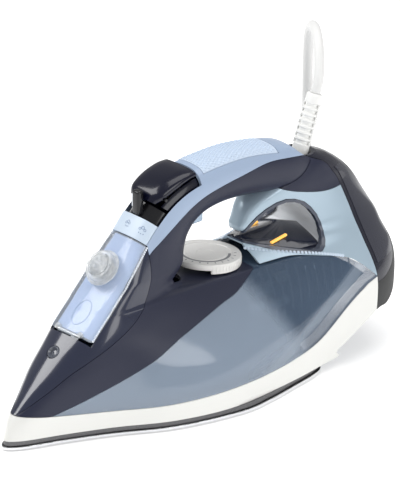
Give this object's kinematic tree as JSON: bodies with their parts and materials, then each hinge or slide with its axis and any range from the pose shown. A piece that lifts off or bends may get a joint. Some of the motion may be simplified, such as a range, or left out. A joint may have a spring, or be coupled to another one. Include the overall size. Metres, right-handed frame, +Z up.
{
  "type": "steam iron",
  "caption": "Corded steam iron with a clear water tank, a hinged filling door on the nose, a dial under the hand opening, a window through the rear body and a coiled lead.",
  "frame": {"origin": "on the ironing plane, under the middle of the body's length and width", "axes": "+Z up, +Y towards the heel, the nose points along -Y, +X across"},
  "size_m": [0.2293, 0.32, 0.2075],
  "materials": {
    "dark_sole": "smooth dark coated sole with a polished edge",
    "cast_aluminium": "as cast",
    "plain_steel": "plain",
    "pin_metal": "plated",
    "white_plastic": "fine satin",
    "white_parts": "fine texture",
    "cord_white": "smooth flexible sheath",
    "dial_white": "satin with a printed arc and ticks",
    "blue_tank": "clear tinted moulding",
    "clear_door": "clear polished moulding",
    "nozzle_grey": "polished",
    "filler_blue": "satin",
    "band_blue": "satin",
    "tab_blue": "translucent",
    "navy_gloss": "gloss",
    "navy_satin": "satin",
    "gloss_black": "high gloss",
    "trim_navy": "satin",
    "amber_lens": "clear amber",
    "light_blue": "satin",
    "grip_blue": "soft, dimpled",
    "satin_blue": "satin, slightly metallic",
    "heel_navy": "gloss",
    "black_rubber": "matt"
  },
  "bodies": {
    "iron": {"soleplate": "dark_sole", "heater_casting": "cast_aluminium", "heating_element": "plain_steel", "chamber_cover": "plain_steel", "cover_screw_left": "plain_steel", "cover_screw_right": "plain_steel", "cover_screw_rear": "plain_steel", "thermostat": "white_parts", "thermal_fuse": "plain_steel", "skirt": "white_plastic", "water_tank": "blue_tank", "nose_cap": "navy_gloss", "housing": "navy_satin", "handle_cover": "light_blue", "grip_pad": "grip_blue", "rear_panel": "satin_blue", "rear_web_left": "navy_satin", "rear_web_right": "navy_satin", "heel_cover": "heel_navy", "heel_bumper": "black_rubber", "door_pin": "plain_steel", "fill_panel": "filler_blue", "fill_funnel": "filler_blue", "spray_nozzle": "nozzle_grey", "icon_band": "band_blue", "trigger_pin": "plain_steel", "pump_body": "white_parts", "pump_spring": "plain_steel", "terminal_block": "white_parts", "window_trim_left": "trim_navy", "window_trim_right": "trim_navy", "lamp_housing": "navy_gloss", "indicator_lens_left": "amber_lens", "indicator_lens_right": "amber_lens", "strain_relief": "white_parts", "cord": "cord_white", "cord_coil": "cord_white", "coil_tie": "black_rubber", "plug_body": "white_parts", "plug_pin_left": "pin_metal", "plug_pin_right": "pin_metal"},
    "fill_door": {"fill_door": "clear_door", "fill_cap": "clear_door"},
    "dial": {"dial": "dial_white", "dial_spindle": "white_parts"},
    "selector": {"selector": "gloss_black"},
    "valve": {"valve_rod": "plain_steel"},
    "trigger": {"trigger": "navy_gloss"},
    "pump_piston": {"pump_piston": "white_parts"},
    "steam_tab": {"steam_tab": "tab_blue"}
  },
  "joints": [
    {"name": "door_hinge", "type": "hinge", "parent": "iron", "child": "fill_door", "pos_m": [0, -0.10331, 0.0666], "axis": [1, 0, 0], "range_deg": [0, 80]},
    {"name": "dial_turn", "type": "hinge", "parent": "iron", "child": "dial", "pos_m": [0, 0.016, 0.0854], "axis": [0, 0.0698, 0.9976], "range_deg": [-135, 135]},
    {"name": "selector_turn", "type": "hinge", "parent": "iron", "child": "selector", "pos_m": [0, -0.03283, 0.12129], "axis": [0, 0.6799, 0.7333], "range_deg": [-20, 20]},
    {"name": "valve_lift", "type": "slide", "parent": "iron", "child": "valve", "axis": [0, 0, 1], "range_m": [-0.0015, 0.0015]},
    {"name": "trigger_press", "type": "hinge", "parent": "iron", "child": "trigger", "pos_m": [0, -0.0325, 0.1436], "axis": [-1, 0, 0], "range_deg": [0, 5], "stiffness_Nm_per_rad": 1, "springref_deg": -3.44},
    {"name": "pump_stroke", "type": "slide", "parent": "iron", "child": "pump_piston", "axis": [0, 0, -1], "range_m": [0, 0.0019], "deforming": ["pump_spring"]},
    {"name": "steam_tab_pull", "type": "slide", "parent": "iron", "child": "steam_tab", "axis": [0, 0, 1], "range_m": [0, 0.003], "stiffness_N_per_m": 600, "springref_m": -0.004}
  ],
  "couplings": [
    {"joint": "valve_lift", "follows": "selector_turn", "m_per_rad": 0.004},
    {"joint": "pump_stroke", "follows": "trigger_press", "m_per_rad": 0.021}
  ]
}
